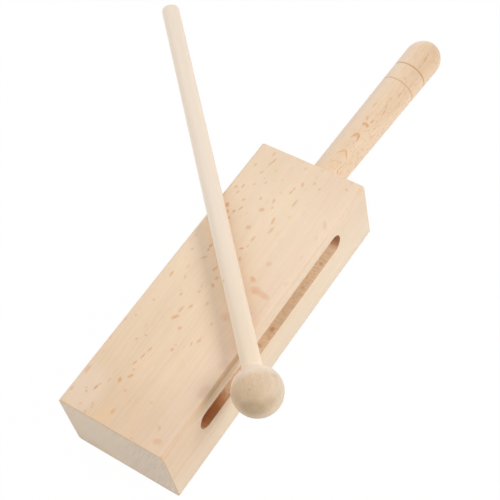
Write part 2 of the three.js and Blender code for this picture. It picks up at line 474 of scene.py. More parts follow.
# Marks on the block, in millimetres and degrees:
# (across, along, width, length, turn, depth of colour)
BLOCK_FLECKS = (
    (-21.3, 83.7, 1.2, 3.0, 8, 0.5), (-1.3, 83.2, 1.2, 2.2, 0, 0.35), (-19.1, 78.8, 0.9, 6.5, 13, 0.7),
    (-26.1, 73.4, 1.2, 2.8, 10, 0.5), (-20.4, 70.7, 1.1, 3.0, 20, 0.5), (3.0, 73.6, 1.4, 3.2, -20, 0.65),
    (0.6, 69.4, 1.1, 2.6, 0, 0.6), (0.3, 66.8, 1.2, 2.8, 10, 0.6), (8.0, 77.1, 1.3, 2.2, 0, 0.5),
    (12.3, 75.3, 1.1, 1.8, -30, 0.4), (24.7, 81.2, 1.3, 2.4, -40, 0.45), (-19.4, 62.5, 1.1, 1.7, 0, 0.45),
    (-14.7, 65.9, 1.3, 2.0, 30, 0.4), (-16.9, 68.2, 1.0, 1.6, 30, 0.25), (5.9, 62.1, 1.1, 5.6, 3, 0.6),
    (-24.0, 58.9, 1.3, 2.9, 0, 0.55), (-27.0, 56.8, 1.7, 1.7, 0, 0.65), (-24.2, 54.4, 1.4, 1.8, 30, 0.5),
    (-4.6, 58.1, 1.4, 3.1, -15, 0.5), (-2.8, 54.3, 1.4, 2.0, 30, 0.4), (-11.4, 56.4, 1.4, 2.0, 0, 0.6),
    (-18.8, 51.8, 1.5, 2.4, 20, 0.5), (-6.9, 50.7, 2.0, 2.8, 50, 0.65), (2.1, 47.5, 1.4, 4.6, -12, 0.6),
    (-17.1, 46.6, 1.1, 3.1, 15, 0.65), (-19.1, 43.2, 1.3, 2.4, 0, 0.75), (-24.5, 45.1, 1.8, 3.0, -30, 0.85),
    (-22.0, 41.8, 1.2, 2.4, -50, 0.7), (-19.0, 38.6, 1.3, 1.8, -40, 0.6), (4.4, 42.1, 1.4, 4.3, 5, 0.5),
    (-6.9, 38.2, 2.0, 2.9, 50, 0.6), (-12.6, 45.0, 0.9, 3.0, 15, 0.25), (-0.8, 33.6, 1.3, 4.2, 0, 0.55),
    (-0.6, 28.6, 1.0, 2.2, 0, 0.4), (-2.6, 25.9, 1.5, 2.6, 40, 0.85), (14.8, 24.7, 3.0, 3.4, 0, 0.45),
    (0.3, 20.4, 1.5, 2.8, -35, 0.55), (12.8, 13.5, 2.3, 4.8, 112, 0.65), (13.3, 12.9, 2.8, 2.6, 0, 0.6),
    (18.0, 8.6, 7.8, 5.0, 0, 0.45), (18.3, 8.1, 6.0, 3.2, -10, 0.6), (22.9, 8.0, 7.2, 3.4, 10, 0.5),
    (24.2, 8.4, 3.6, 2.6, 0, 0.3), (20.9, 8.2, 3.6, 2.6, 0, 0.5), (-27.6, 21.8, 1.2, 1.9, 0, 0.4),
    (-17.4, 20.0, 1.4, 2.8, 0, 0.9), (-17.0, 17.4, 1.3, 2.0, 0, 0.8), (-24.5, 14.0, 1.3, 2.2, 15, 0.5),
    (-16.2, 12.6, 1.7, 3.8, 38, 0.55), (-20.2, 4.5, 1.6, 3.0, 0, 0.35), (-7.5, 9.5, 1.5, 4.2, 15, 0.7),
    (-3.5, 5.3, 1.7, 2.6, 0, 0.65), (-2.7, 1.0, 1.9, 3.0, -50, 0.65), (-18.1, -1.4, 1.4, 2.8, -30, 0.5),
    (-25.1, -3.3, 1.5, 4.0, -5, 0.7), (-7.2, -2.0, 1.2, 2.4, -10, 0.45), (-6.6, -5.1, 1.3, 2.4, -10, 0.6),
    (-13.7, -10.9, 1.6, 2.2, 20, 0.6), (0.9, -9.1, 1.9, 2.6, 0, 0.5), (-5.3, -14.3, 1.8, 3.2, 10, 0.65),
    (13.8, -11.9, 2.6, 3.0, 0, 0.4), (-8.6, -18.1, 1.7, 4.8, 5, 0.6), (-8.6, -22.9, 2.2, 4.6, 32, 0.8),
    (-23.9, -20.0, 1.4, 1.8, 0, 0.45), (9.6, -17.6, 1.4, 2.2, -20, 0.45), (-2.8, -26.9, 2.0, 2.4, -10, 0.7),
    (9.6, -28.2, 1.3, 3.2, 5, 0.7), (7.2, -31.4, 1.1, 3.0, -15, 0.55), (5.2, -34.1, 0.9, 2.0, -20, 0.25),
    (-26.3, -31.4, 1.1, 2.2, -25, 0.5), (-15.8, -31.6, 1.0, 1.5, 0, 0.25), (-18.4, -33.8, 1.2, 2.6, 0, 0.35),
    (-29.6, -35.7, 1.3, 2.2, 0, 0.55), (-15.2, -38.2, 1.4, 1.8, 50, 0.55), (-17.9, -42.1, 1.5, 1.8, 0, 0.55),
    (1.0, -35.7, 1.2, 1.6, 0, 0.5), (1.0, -38.6, 1.6, 2.5, 0, 0.7), (-8.7, -43.9, 1.1, 3.6, 8, 0.7),
    (-9.5, -48.3, 1.2, 4.2, 5, 0.8), (-10.6, -53.2, 1.2, 3.4, 10, 0.75), (-8.9, -56.6, 1.3, 2.2, 0, 0.55),
    (-8.1, -60.0, 1.8, 3.6, 35, 0.85), (-11.4, -64.3, 1.8, 3.2, -20, 1.0), (-5.6, -67.7, 1.9, 2.2, 0, 0.5),
    (-15.9, -66.8, 1.7, 3.0, -10, 0.3), (9.2, -66.6, 1.6, 2.0, -40, 0.35), (-19.1, -73.2, 1.5, 3.6, 5, 0.95),
    (-23.2, -75.6, 1.5, 1.4, 0, 0.5), (-21.9, -77.1, 1.6, 1.7, -30, 0.6), (-28.9, -67.3, 2.1, 5.0, 0, 0.55),
    (-29.2, -79.4, 1.8, 3.0, 0, 0.55), (-30.0, -47.9, 1.0, 2.6, 0, 0.5), (-4.0, -79.3, 2.0, 3.4, 0, 0.7),
    (-15.1, -80.9, 1.3, 2.0, -20, 0.55), (-14.3, -82.4, 1.3, 1.5, 0, 0.5), (-20.5, -83.8, 1.3, 1.8, 0, 0.45),
    (-15.9, -86.0, 1.7, 1.6, 0, 0.5), (20.5, -75.4, 1.9, 3.2, -60, 0.5), (23.9, -81.4, 3.6, 5.0, 65, 0.5),
    (-18.5, -70.8, 1.2, 2.0, 10, 0.5), (-27.8, -55.8, 1.2, 1.6, 0, 0.3), (12.2, -86.0, 1.8, 1.8, 0, 0.35),
    (-15.2, -8.8, 1.7, 1.7, 0, 0.25), (-24.3, 8.0, 1.5, 2.0, 0, 0.22), (13.3, -11.2, 5.4, 5.0, 20, 0.28),
)
FAINT_FLECKS = (
    (-14.2, 74.8, 1.7, 2.2, 0, 0.28), (-8.0, 71.4, 1.4, 1.7, 0, 0.24), (-10.4, 69.4, 1.4, 1.6, 0, 0.22),
    (7.2, 86.2, 1.5, 1.8, 0, 0.3), (6.9, 81.0, 1.4, 2.2, 0, 0.3), (-8.2, 80.2, 1.3, 1.8, 0, 0.2),
    (-3.9, 64.2, 1.4, 2.0, 0, 0.22), (8.2, 53.4, 1.6, 2.3, 0, 0.28), (6.5, 71.8, 1.2, 1.3, 0, 0.22),
    (24.6, 86.2, 1.4, 2.6, -60, 0.3), (27.2, 48.8, 1.8, 3.2, 0, 0.22), (-5.0, 86.2, 1.4, 1.8, 0, 0.25),
)
# the rays are cut more aslant towards the handle, so from here on their flecks come out larger
FAR_FLECKS_FROM = 27.0
FAR_FLECK_WIDTH_SHARE = 1.22
FAR_FLECK_LENGTH_SHARE = 1.08
PALE_PATCHES = ((-24.0, -76.0, 22.0, 30.0, 0, 0.4),)
# pink patches of the wood; the two beside the slot edge at -33 and -50 along are painted shadow of the ball
PINK_AND_SHADOW_PATCHES = (
    (26.7, 57.5, 2.2, 6.0, -35, 1.0), (28.9, 18.9, 3.0, 3.4, 0, 0.5), (27.6, -33.2, 5.0, 6.5, 0, 0.85),
    (27.8, -49.8, 5.2, 8.0, 0, 1.0), (27.0, 35.4, 2.4, 3.4, 0, 0.4),
)
YELLOW_PATCHES = (
    (-7.0, -82.0, 9.0, 11.0, 0, 0.45), (30.6, -87.0, 3.4, 2.4, 0, 1.0), (-27.0, -87.2, 9.0, 1.6, 0, 0.6),
    (31.0, 84.0, 3.0, 5.0, 0, 0.5), (12.0, 39.6, 3.0, 2.6, 0, 0.3),
)
SLOT_FLECKS = (
    (28.6, 2.3, 2.6, 3.2, 0, 1.0), (28.0, 13.5, 2.6, 1.0, 10, 0.5), (28.0, 22.5, 1.8, 1.1, 10, 0.5),
    (28.7, 30.0, 2.6, 1.3, 10, 0.6), (29.0, 46.5, 2.6, 1.7, 5, 0.8), (28.4, 41.0, 1.8, 0.9, 0, 0.5),
    (28.4, -8.5, 4.0, 1.8, 15, 0.6), (27.5, 36.0, 1.6, 0.8, 0, 0.4), (30.0, -3.0, 2.0, 3.0, 0, 0.4),
)
# the same, with up in place of along
END_STREAKS = (
    (-28.6, 11.5, 2.6, 17.0, 4, 0.8), (-22.0, 14.0, 3.0, 14.0, 38, 0.3), (-28.0, 28.0, 3.0, 12.0, 20, 0.35),
    (-7.0, 36.0, 7.0, 20.0, 80, 0.3), (-17.0, 6.0, 6.0, 18.0, 80, 0.4), (-25.0, 22.5, 0.8, 6.0, 25, 0.4),
    (-1.0, 26.0, 3.0, 20.0, 27, 0.2), (-24.0, 26.0, 12.0, 24.0, 20, 0.3),
)


def enlarge_far_flecks(rows):
    """The same rows, with the flecks nearer the handle wider and longer."""
    enlarged = []
    for across, along, width, length, turn, depth in rows:
        if along > FAR_FLECKS_FROM:
            width *= FAR_FLECK_WIDTH_SHARE
            length *= FAR_FLECK_LENGTH_SHARE
        enlarged.append((across, along, width, length, turn, depth))
    return enlarged


WARM_TINGE = (1.0, 0.970, 0.910)
# the plain-end colours are darker and warmer than the handle-end ones: painted light falloff along the block
TOP_AT_HANDLE = (0.896, 0.715, 0.538)
TOP_AT_PLAIN_END = (0.834, 0.630, 0.444)
TOP_AT_SLOT_EDGE = (0.890, 0.692, 0.551)
SIDE_AT_HANDLE = (0.872, 0.710, 0.531)
SIDE_AT_PLAIN_END = (0.855, 0.661, 0.466)
# painted bounce light from the table low on the side, and painted shade higher up
SIDE_LOW_TABLE_LIT = (0.887, 0.760, 0.608)
SIDE_HIGH_UP_SHADE_TINGE = (0.955, 0.925, 0.920)
# painted shade at the block's ends
ENDS_SHADE_TINGE = (0.945, 0.925, 0.915)
SLOT_DARK_GRAIN = (0.830, 0.600, 0.400)
SLOT_PALE_GRAIN = (0.930, 0.740, 0.540)
# partly scorch, partly painted shadow of the ball
TOASTED_AND_SHADED = (0.800, 0.390, 0.160)
SCORCH_AND_SHADOW = (0.700, 0.315, 0.140)
# painted shade in the slot's end
SLOT_END_SHADE = (0.520, 0.205, 0.080)
PALE_CORNER = (0.920, 0.760, 0.610)
PINK_AND_SHADOW = (0.800, 0.525, 0.405)
PATCH_YELLOW = (0.874, 0.575, 0.282)
FLECK_BROWN = (0.747, 0.397, 0.196)
END_GRAIN_DARK = (0.737, 0.591, 0.440)
END_GRAIN_PALE = (0.796, 0.649, 0.489)
SAW_SCRATCH = (0.506, 0.397, 0.299)
END_STREAK_BROWN = (0.780, 0.580, 0.370)
# painted shadow of the ball
BALL_SHADOW_TINGE = (0.925, 0.918, 0.845)
# burnished edge colour, also used for painted shadow
BURNISH_AND_SHADOW = (0.725, 0.485, 0.280)

# (rows of marks, strength, colour)
TOP_PATCHES = (
    (PALE_PATCHES, 1.0, PALE_CORNER), (PINK_AND_SHADOW_PATCHES, 0.6, PINK_AND_SHADOW), (YELLOW_PATCHES, 0.7, PATCH_YELLOW),
)

# the block's own sizes in millimetres, as its material reads them
block_top = block_high.z / MM
block_side = block_high.x / MM
slot_middle = slot_middle_height / MM
slot_half_height = SLOT_HEIGHT / 2 / MM
slot_reach = (SLOT_LENGTH / 2 + SLOT_SHIFT) / MM


def warm_in_patches(colour, mottle):
    warmer = tinge(1.0, colour, WARM_TINGE)
    return stain(scaled(mottle, 0.5, 0.25), colour, warmer)


def multiply_by(colour, amount):
    given = {0: amount, 1: amount, 2: amount}
    grey = put(tree_of(amount), "ShaderNodeCombineColor", given).outputs[0]
    return tinge(1.0, colour, grey)


def within(off, limit, softness):
    """1 where a distance is under a limit either way, fading out at the limit."""
    return ease(sums("ABSOLUTE", off), limit, limit - softness)


def span(value, start, end):
    """1 from a soft start to a soft end, each given as where it is 0 and where it is 1."""
    return times(ease(value, *start), ease(value, *end))


def on_slot_walls(across, along, up):
    off_middle = sums("SUBTRACT", up, slot_middle)
    return times(
        within(across, block_side - 0.05, 0.15), within(off_middle, slot_half_height + 0.3, 0.15),
        within(along, slot_reach + 0.5, 0.3))


def planed_tones(across, along, up, on_top):
    """Tone from one end to the other, darker towards the plain end as painted light falloff, from the pale
    edge to the pink one, paler on the sides, with painted bounce light low on the sides and painted shade at
    both ends.
    """
    # darker towards the plain end: painted light falloff
    to_plain_end = ease(along, 60.0, -90.0)
    top = stain(to_plain_end, TOP_AT_HANDLE, TOP_AT_PLAIN_END)
    pink = times(ease(across, 2.0, 30.0), on_top, 0.5)
    top = stain(pink, top, TOP_AT_SLOT_EDGE)
    side = stain(to_plain_end, SIDE_AT_HANDLE, SIDE_AT_PLAIN_END)
    # the side painted paler low down and greyer high up: painted bounce light from the table
    side = stain(times(ease(up, 22.0, 6.0), 0.5), side, SIDE_LOW_TABLE_LIT)
    side = tinge(ease(up, 12.0, 36.0), side, SIDE_HIGH_UP_SHADE_TINGE)
    planed = stain(on_top, side, top)
    # the upper block near the plain end and all of it near the handle end darkened: painted shade
    near_corner = times(ease(along, -48.0, -74.0), ease(up, -14.0, 16.0))
    painted_end_shade = either(near_corner, ease(along, 55.0, 85.0, 0.0, 0.7))
    return tinge(painted_end_shade, planed, ENDS_SHADE_TINGE)


def planed_grain(grain, along, on_top):
    """Light and dark of the grain, with its lines strongest near the plain end and on the sides."""
    line_depth = ease(along, 20.0, -60.0, 0.08, 0.16)
    line_depth = times(line_depth, scaled(on_top, -1.4, 2.4))
    calmer = times(ease(along, -10.0, 45.0, 0.0, -0.32), on_top)
    line_depth = scaled(line_depth, calmer, line_depth)
    lines = scaled(sums("SUBTRACT", grain["Lines"], 0.5), line_depth, 1.0)
    return times(swing(grain["Bands"], 0.10), lines, swing(grain["Fibres"], 0.13))


def routed_walls(place, along, grain):
    """The slot's walls: raw, rippled by the cutter, darkened towards the plain end partly by scorch where it
    turned and partly by painted shadow of the ball, and darkened at the handle end with painted shade.
    """
    walls = stain(grain["Lines"], SLOT_DARK_GRAIN, SLOT_PALE_GRAIN)
    ripples = noise(stretched(place, (0.22, 0.8, 0.22)), 1.0, 3.0)["Fac"]
    paler = either(ease(along, 32.0, 42.0), ease(along, 2.0, -5.0))
    light = scaled(ripples, 0.5, scaled(paler, 0.08, 0.75))
    walls = multiply_by(walls, light)
    # towards the plain end: partly scorch, partly painted shadow of the ball
    patchy = sums("ADD", along, scaled(grain["Mottle"], 6.0, -3.0))
    toasted_and_shaded = times(ease(patchy, -35.5, -42.0), 0.75)
    walls = stain(toasted_and_shaded, walls, TOASTED_AND_SHADED)
    streaky = scaled(ripples, 1.6, -0.2)
    scorch_and_shadow = times(ease(patchy, -41.0, -50.0), streaky)
    walls = stain(scorch_and_shadow, walls, SCORCH_AND_SHADOW)
    # the round end at the handle darkened: painted shade
    shade_at_handle = times(ease(along, 56.5, 62.0), 0.85)
    return stain(shade_at_handle, walls, SLOT_END_SHADE)


def lay_flecks(wood_colour, place, facing_up, in_slot):
    """Ray flecks and patches of the top and the slot, two of the pink patches being painted shadow, and
    faint scattered flecks on the rest.
    """
    ray_place = turned_about("Y_AXIS", place, math.radians(11))
    rays = apply_effect(RAY_FLECKS, place=ray_place, spacing=(24, 7.6, 0.75), size=0.24)
    underside = ease(facing_up, -0.6, -0.9)
    scattered = times(rays["Flecks"], scaled(rays["Chance"], 0.6, 0.3), scaled(underside, 0.6, 0.12))
    rough_place = roughen(place)
    top_flecks = [*enlarge_far_flecks(BLOCK_FLECKS), *FAINT_FLECKS]
    on_top = add_marks(rough_place, top_flecks, block_top, 5.0)
    on_floor = add_marks(rough_place, SLOT_FLECKS, slot_middle - slot_half_height, 2.0)
    flecks = either(scattered, times(on_top, 0.92))
    flecks = sums("MAXIMUM", flecks, times(on_floor, in_slot), clamp=True)
    for marks, strength, colour in TOP_PATCHES:
        patches = times(add_marks(rough_place, marks, block_top, 3.0), strength)
        wood_colour = stain(patches, wood_colour, colour)
    return stain(flecks, wood_colour, FLECK_BROWN)


def saw_marks(place, slant, spread):
    """Scratches across the end, by how they slant and how far they spread each way."""
    given = {"Vector": place, "Rotation": (0, math.radians(slant), 0), "Scale": spread}
    saw_place = put(tree_of(place), "ShaderNodeMapping", given, vector_type="TEXTURE").outputs[0]
    return noise(saw_place, 1.0, 3.0, 0.7)["Fac"]


def sawn_end(across, up, grain, first_saw, second_saw):
    """End grain, greyer, with the marks of the saw, and painted paler low down as bounce light from the
    table.
    """
    end = stain(grain["Lines"], END_GRAIN_DARK, END_GRAIN_PALE)
    rougher = ease(across, -16.0, 14.0, 0.25, 1.0)
    first = times(ease(first_saw, 0.35, 0.65), rougher, 0.40)
    end = stain(first, end, SAW_SCRATCH)
    at_slot_side = ease(across, 0.0, 18.0)
    second = times(ease(second_saw, 0.42, 0.62), at_slot_side, 0.30)
    end = stain(second, end, SAW_SCRATCH)
    streaks = add_marks(join(across, up), END_STREAKS, 0.0, 1.0)
    end = stain(streaks, end, END_STREAK_BROWN)
    # paler low down towards the slotted side: painted bounce light from the table
    painted_table_bounce = times(ease(up, 18.0, 3.0), ease(across, -22.0, -4.0))
    return multiply_by(end, scaled(painted_table_bounce, 0.09, 1.0))


def burnish_edges_and_paint_shadow(wood_colour, ways, facing, on_top, on_face):
    """The sanded edges have burnished a little yellow; where the ball's shadow falls, the long edge, the
    strip over the slot and the top beside it are darkened with painted shadow.
    """
    across, along, up = ways
    # the strip over the slot and the top beside the edge, greyed where the ball's shadow falls: painted
    # shadow
    ball_shadow_span = span(along, (-28.0, -40.0), (-68.0, -58.0))
    ball_shadow_strip = times(
        ball_shadow_span, on_face, ease(up, 34.3, 37.8), ease(across, 22.0, 30.0), scaled(on_top, -0.45, 1.0))
    wood_colour = tinge(ball_shadow_strip, wood_colour, BALL_SHADOW_TINGE)
    long_edge, end_edge, corner = (
        ease(times(facing[one], facing[other]), 0.08, 0.4)
        for one, other in ((0, 2), (1, 2), (0, 1)))
    # the long edge darkened where the ball's and stick's shadow falls: painted shadow
    ball_shadow_stretch = span(along, (-18.0, -27.0), (-64.0, -54.0))
    ball_shadow_stretch = times(ball_shadow_stretch, ease(across, 20.0, 30.0))
    plain_end = ease(along, 0.0, -20.0, 0.15, 0.7)
    on_line = ease(off_from(across, 30.1), 0.6, 0.1, 0.0, 0.4)
    sanding_line = times(on_line, ease(along, -52.0, -60.0), ease(up, 39.0, 40.0))
    burnish_and_shadow = either(
        times(long_edge, scaled(ball_shadow_stretch, 0.55, 0.05)), times(end_edge, plain_end), times(corner, plain_end),
        sanding_line)
    return stain(times(burnish_and_shadow, on_face), wood_colour, BURNISH_AND_SHADOW)


def finish_block():
    wood, tree, shader, place = new_wood("block_wood")
    normal = put(tree, "ShaderNodeTexCoord").outputs["Normal"]
    across, along, up = split(place)
    facing = split(vector_sums("ABSOLUTE", normal))
    on_top = ease(facing[2], 0.6, 0.95)
    in_slot = on_slot_walls(across, along, up)
    on_face = sums("SUBTRACT", 1.0, in_slot)
    on_end = times(ease(facing[1], 0.7, 0.95), on_face)

    grain = apply_effect(WOOD_GRAIN, place=place, band_width=7.0, line_width=0.7, fibre_width=0.25)
    planed = planed_tones(across, along, up, on_top)
    colour = stain(in_slot, planed, routed_walls(place, along, grain))
    colour = multiply_by(colour, planed_grain(grain, along, on_top))
    colour = warm_in_patches(colour, grain["Mottle"])
    colour = lay_flecks(colour, place, split(normal)[2], in_slot)
    first_saw = saw_marks(place, 27, (0.9, 100, 22))
    second_saw = saw_marks(place, 9, (0.7, 100, 13))
    colour = stain(on_end, colour, sawn_end(across, up, grain, first_saw, second_saw))
    colour = burnish_edges_and_paint_shadow(colour, (across, along, up), facing, on_top, on_face)

    rough = scaled(grain["Fibres"], 0.14, 0.48)
    rough = sums("ADD", rough, times(on_end, 0.15))
    height = sums("ADD", times(grain["Fibres"], 0.5), grain["Lines"])
    height = sums("ADD", height, times(first_saw, times(on_end, 2.0)))
    dress(tree, shader, colour, rough, height, BEECH_RELIEF, BEECH_RELIEF_HEIGHT)
    return wood


sound_block.data.materials.append(finish_block())


# Handle
# A peg of the same beech, turned with a slight swell and a domed end. Two grooves are cut and
# then burnt dark with a wire. Its foot is glued into the hole in the block's end.
HANDLE_REACH = 114.4 * MM
HANDLE_GRIP_RADIUS = 10.25 * MM
HANDLE_DOME_LENGTH = 11.5 * MM
INNER_GROOVE_REACH = 77.4 * MM
GROOVE_PITCH = 12.1 * MM
GROOVE_WIDTH = 1.0 * MM
GROOVE_DEPTH = 0.5 * MM
# (reach, share of the depth, how dark it is burnt)
GROOVES = ((INNER_GROOVE_REACH, 0.5, 0.48), (INNER_GROOVE_REACH + GROOVE_PITCH, 0.8, 0.68))
HANDLE_FOOT = 20.5 * MM
HANDLE_FOOT_EASE = 1.0 * MM
# how far along and how deep the groove's outline goes, as shares of its width and depth
GROOVE_PROFILE_SHARES = (
    (-0.62, 0), (-0.5, 0.08), (-0.12, 0.94), (0, 1), (0.12, 0.94), (0.5, 0.08), (0.62, 0),
)
GRIP_STEPS = 11
DOME_STEPS = 24

dome_start = HANDLE_REACH - HANDLE_DOME_LENGTH


def grip_radius(reach):
    return HANDLE_FACE_RADIUS + (HANDLE_GRIP_RADIUS - HANDLE_FACE_RADIUS) * reach / dome_start


def turned_piece(name, profile, place, steps):
    """A profile of radius and reach, spun about Y and set in its place."""
    bm = bmesh.new()
    verts = [bm.verts.new((radius, reach, 0)) for radius, reach in profile]
    for start, end in zip(verts, verts[1:]):
        bm.edges.new((start, end))
    bmesh.ops.spin(
        bm, geom=bm.verts[:] + bm.edges[:], cent=(0, 0, 0), axis=(0, 1, 0),
        angle=math.tau, steps=steps, use_merge=True)
    bmesh.ops.remove_doubles(bm, verts=bm.verts, dist=SAME_PLACE / 10)
    bmesh.ops.recalc_face_normals(bm, faces=bm.faces)
    bmesh.ops.transform(bm, matrix=place, verts=bm.verts)
    return new_piece(name, bm)


def handle_profile():
    profile = [
        (0, -HANDLE_FOOT), (HANDLE_FACE_RADIUS - HANDLE_FOOT_EASE, -HANDLE_FOOT),
        (HANDLE_FACE_RADIUS, HANDLE_FOOT_EASE - HANDLE_FOOT)]
    for step in range(GRIP_STEPS + 1):
        reach = step / GRIP_STEPS * (INNER_GROOVE_REACH - GROOVE_WIDTH)
        profile.append((grip_radius(reach), reach))
    for groove, share, _ in GROOVES:
        for off, depth in GROOVE_PROFILE_SHARES:
            reach = groove + off * GROOVE_WIDTH
            profile.append((grip_radius(reach) - depth * share * GROOVE_DEPTH, reach))
    for step in range(DOME_STEPS):
        turn = math.pi / 2 * step / DOME_STEPS
        radius = HANDLE_GRIP_RADIUS * math.cos(turn)
        profile.append((radius, dome_start + HANDLE_DOME_LENGTH * math.sin(turn)))
    profile.append((0, HANDLE_REACH))
    return profile


handle = turned_piece("handle_dressed", handle_profile(), handle_place(), TURNED_FACETS)
smooth_between_creases(handle, math.radians(50))
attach(handle, "block")
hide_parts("handle")


def ring_arch():
    """Where a growth ring meets the turned surface: an arch with its point away from the block."""
    tree, given, result = effect(
        "ring arch",
        [("Round", "Float", 0.0), ("Reach", "Float", 0.0), ("Middle", "Float", 11.5),
         ("Point", "Float", 20.0), ("Half width", "Float", 3.0), ("Thickness", "Float", 1.0),
         ("Bluntness", "Float", 0.7)],
        [("Arch", "Float")])
    off = off_from(given["Round"], given["Middle"])
    blunt = times(given["Bluntness"], given["Bluntness"])
    bent = sums("SQRT", sums("ADD", times(off, off), blunt))
    fallen = times(sums("SUBTRACT", bent, given["Bluntness"]), 1.3)
    below = sums("SUBTRACT", sums("SUBTRACT", given["Point"], fallen), given["Reach"])
    inner_edge = times(given["Thickness"], 0.4)
    near_middle = times(given["Half width"], 0.55)
    arch = times(
        ease(below, -0.35, 0.25), ease(below, given["Thickness"], inner_edge),
        ease(off, given["Half width"], near_middle))
    tree.links.new(arch, result["Arch"])
    return tree


RING_ARCH = ring_arch()
# (middle, point, half width, thickness, bluntness, depth of colour)
HANDLE_ARCHES = (
    (11.6, 15.6, 4.6, 1.0, 0.7, 0.35), (11.1, 23.7, 4.2, 1.9, 0.7, 0.75), (11.7, 27.6, 2.8, 0.8, 0.7, 0.32),
    (11.6, 30.4, 2.6, 0.8, 0.7, 0.26), (11.6, 36.3, 2.1, 3.4, 1.2, 0.95), (11.6, 44.1, 2.2, 2.4, 2.2, 1.0),
    (11.7, 53.2, 3.0, 0.7, 0.7, 0.15),
)
# Marks on the unrolled handle: (round, reach, width, length, turn, depth of colour)
ARCH_LEGS = ((10.0, 46.9, 1.3, 3.4, -8, 0.7), (13.4, 46.9, 1.4, 3.4, 14, 0.75))
ARCH_SHADES = (
    (10.2, 33.7, 1.1, 4.6, 14, 0.65), (13.2, 33.3, 1.1, 4.4, -16, 0.6), (10.7, 42.9, 1.6, 2.0, -20, 0.6),
    (12.8, 42.8, 1.6, 2.0, 20, 0.5), (10.0, 46.6, 0.9, 2.4, -8, 0.4), (9.6, 21.6, 0.8, 2.8, 42, 0.45),
)
HANDLE_DASHES = (
    (8.2, 55.6, 0.8, 4.8, 6, 0.7), (9.1, 59.4, 0.8, 4.6, 12, 0.6), (7.6, 70.9, 0.8, 4.4, 2, 0.65),
    (6.3, 80.0, 0.5, 3.6, 0, 0.35), (9.0, 98.2, 1.0, 5.2, 8, 0.8), (9.3, 101.0, 0.8, 2.6, 15, 0.55),
    (8.4, 91.9, 0.7, 3.2, 0, 0.5), (6.9, 91.9, 0.7, 3.2, 0, 0.45), (4.0, 41.0, 0.9, 8.0, 0, 0.35),
    (4.0, 27.5, 0.8, 4.6, 0, 0.3), (7.3, 26.4, 0.8, 5.0, 0, 0.3), (4.0, 65.0, 0.7, 5.0, 0, 0.3),
    (14.8, 56.6, 1.0, 4.8, -5, 0.4), (7.0, 16.6, 0.6, 4.4, 5, 0.4), (7.2, 10.6, 1.0, 2.8, 32, 0.55),
    (14.1, 14.1, 0.8, 1.9, 50, 0.45), (13.2, 78.8, 0.8, 1.8, 20, 0.3), (11.3, 80.4, 2.6, 1.6, 0, 0.3),
    (14.9, 86.0, 0.7, 5.0, 0, 0.25), (5.4, 20.0, 0.6, 6.0, 0, 0.2), (14.6, 97.0, 0.6, 5.0, 0, 0.25),
    (8.1, 105.3, 0.8, 3.2, 22, 0.5), (7.0, 107.0, 0.5, 3.0, 12, 0.3), (10.1, 107.4, 0.5, 2.8, -6, 0.35),
    (4.9, 100.6, 0.5, 3.6, -10, 0.35), (6.0, 78.6, 0.6, 3.4, 8, 0.4), (8.6, 94.2, 0.7, 4.0, 8, 0.4),
)


HANDLE_MEAN_RADIUS = 9.5 * MM
HANDLE_PALE = (0.857, 0.653, 0.466)
HANDLE_AT_DOME = (0.793, 0.586, 0.402)
HANDLE_FAR_SIDE = (0.838, 0.656, 0.503)
LATE_WOOD_BROWN = (0.736, 0.489, 0.287)
# painted shade on one side of the grip
GRIP_SIDE_SHADE_TINGE = (0.935, 0.905, 0.880)
PORE_BROWN = (0.598, 0.380, 0.218)
DASH_BROWN = (0.644, 0.380, 0.196)
ARCH_BROWN = (0.782, 0.437, 0.230)
ARCH_SHADE_BROWN = (0.660, 0.375, 0.200)
GROOVE_BURNT = (0.517, 0.265, 0.103)


def on_own_axis(place, piece_place):
    """The same places as a turned piece has them, with Y along its own axis."""
    given = {"Vector": place, "Location": piece_place.translation / MM, "Rotation": piece_place.to_euler()}
    return put(tree_of(place), "ShaderNodeMapping", given, vector_type="TEXTURE").outputs[0]


def ring_figure(colour, round_it, reach):
    """Dashes and arches where the growth rings come to the turned surface."""
    unrolled = join(round_it, reach)
    dashes = add_marks(roughen(unrolled), HANDLE_DASHES, 0.0, 1.0)
    colour = stain(dashes, colour, DASH_BROWN)
    arches = add_marks(unrolled, ARCH_LEGS, 0.0, 1.0)
    for middle, point, half_width, thickness, bluntness, depth in HANDLE_ARCHES:
        arch = apply_effect(
            RING_ARCH, round=round_it, reach=reach, middle=middle, point=point,
            half_width=half_width, thickness=thickness, bluntness=bluntness)
        arches = either(arches, times(arch["Arch"], depth))
    colour = stain(arches, colour, ARCH_BROWN)
    shades = add_marks(unrolled, ARCH_SHADES, 0.0, 1.0)
    return stain(shades, colour, ARCH_SHADE_BROWN)


def burn_grooves(colour, reach):
    for groove, _, darkness in GROOVES:
        off = off_from(reach, groove / MM)
        colour = stain(ease(off, 0.6, 0.15, 0.0, darkness), colour, GROOVE_BURNT)
    return colour


